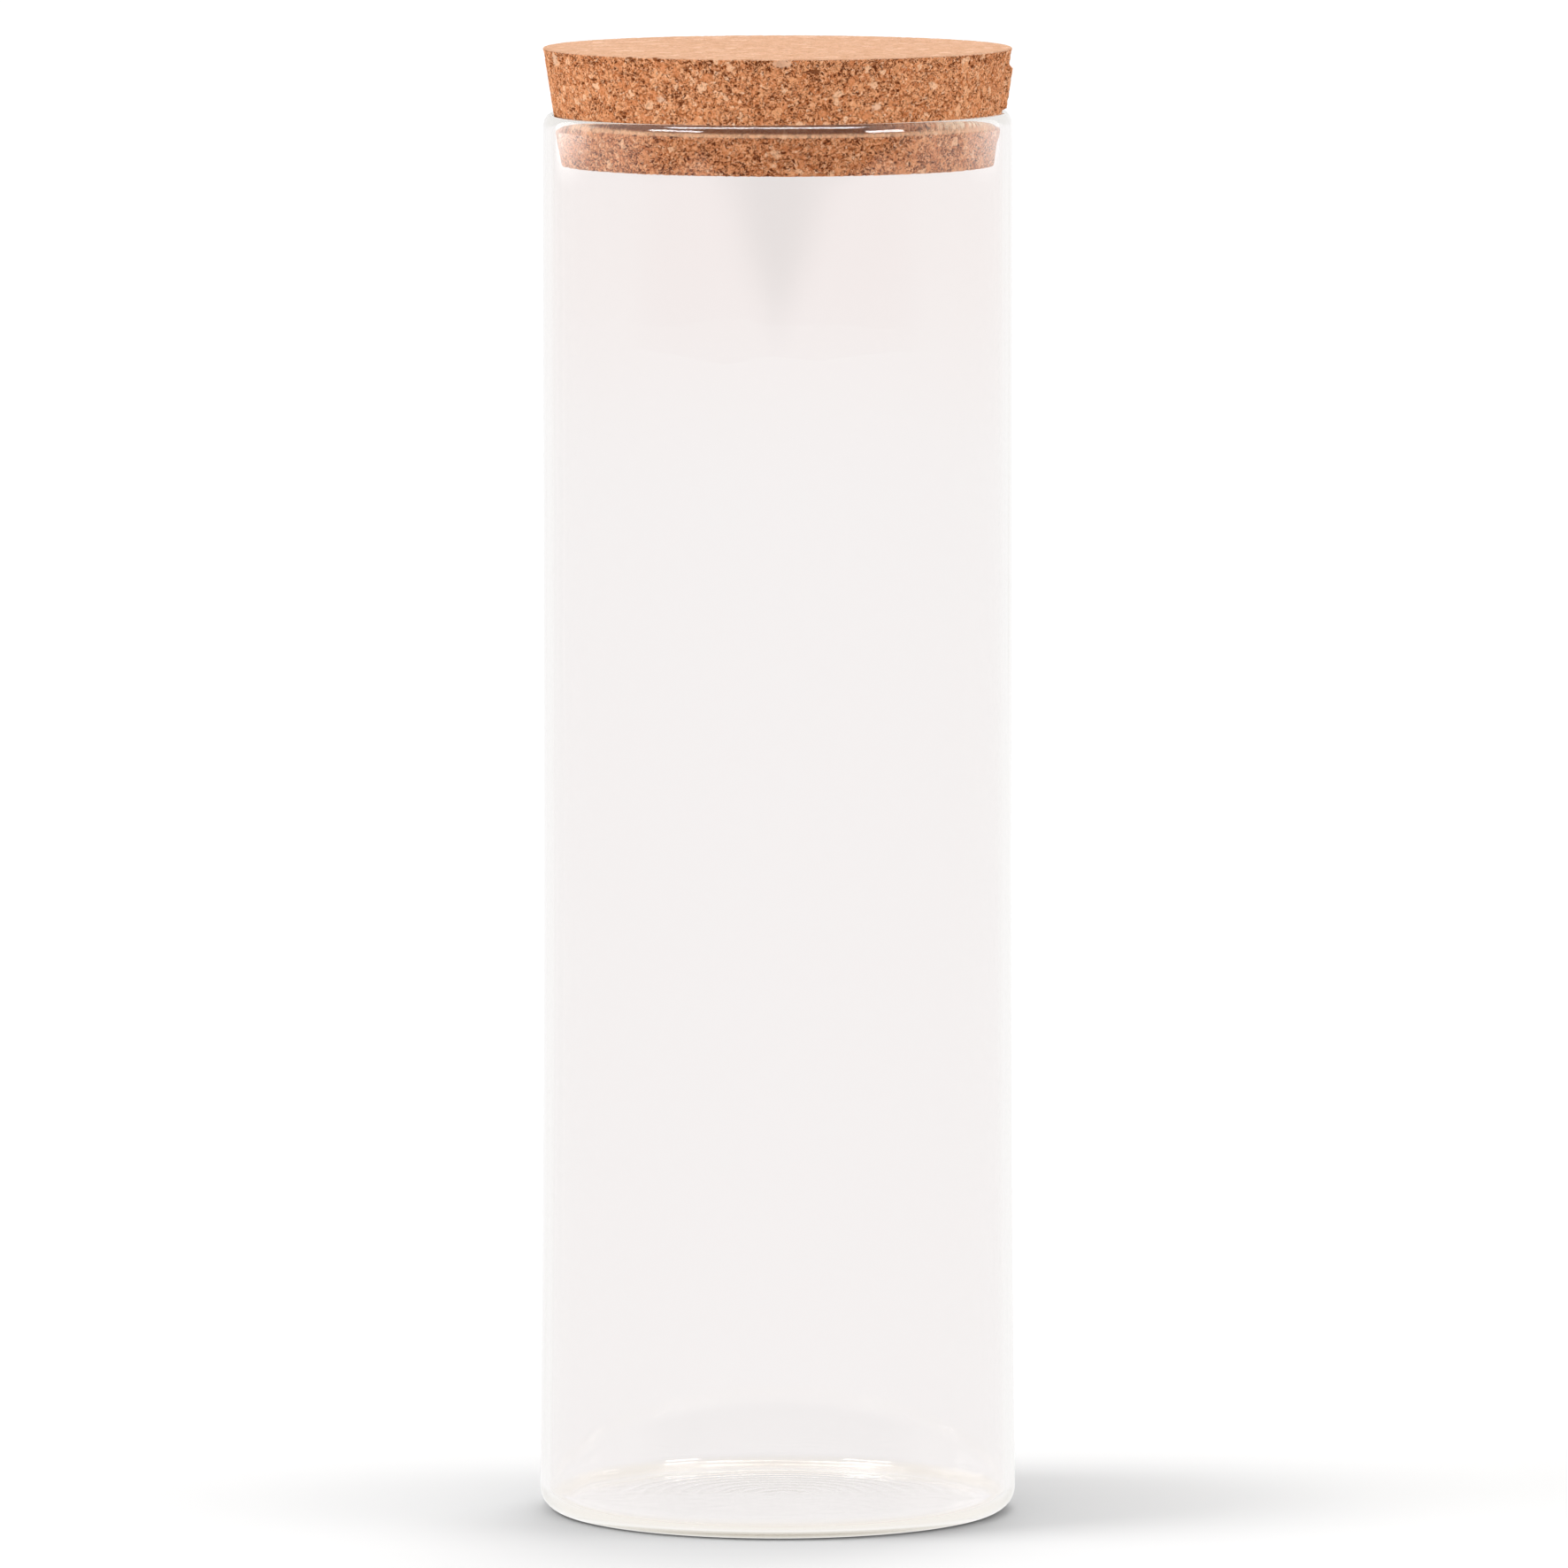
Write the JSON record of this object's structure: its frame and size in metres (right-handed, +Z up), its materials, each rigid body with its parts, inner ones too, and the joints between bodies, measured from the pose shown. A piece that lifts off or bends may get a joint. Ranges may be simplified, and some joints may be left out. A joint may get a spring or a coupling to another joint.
{
  "type": "glass jar with cork lid",
  "caption": "Tall clear glass storage jar with straight sides and a rounded heel, closed by a tapered agglomerated cork lid that lifts out.",
  "frame": {"origin": "centre of the foot ring, on the surface the jar stands on", "axes": "+Z up along the jar's axis, through the middle of the lid; the part is round, so X and Y are free"},
  "size_m": [0.102, 0.102, 0.314],
  "materials": {
    "clear_glass": "clear, smooth, melted lip",
    "cork": "agglomerated cork, sanded top, matt"
  },
  "bodies": {
    "jar": {"glass_body": "clear_glass"},
    "lid": {"cork_lid": "cork"}
  },
  "joints": [
    {"name": "lid_lift", "type": "slide", "parent": "jar", "child": "lid", "axis": [0, 0, 1], "range_m": [0, 0.11]}
  ]
}
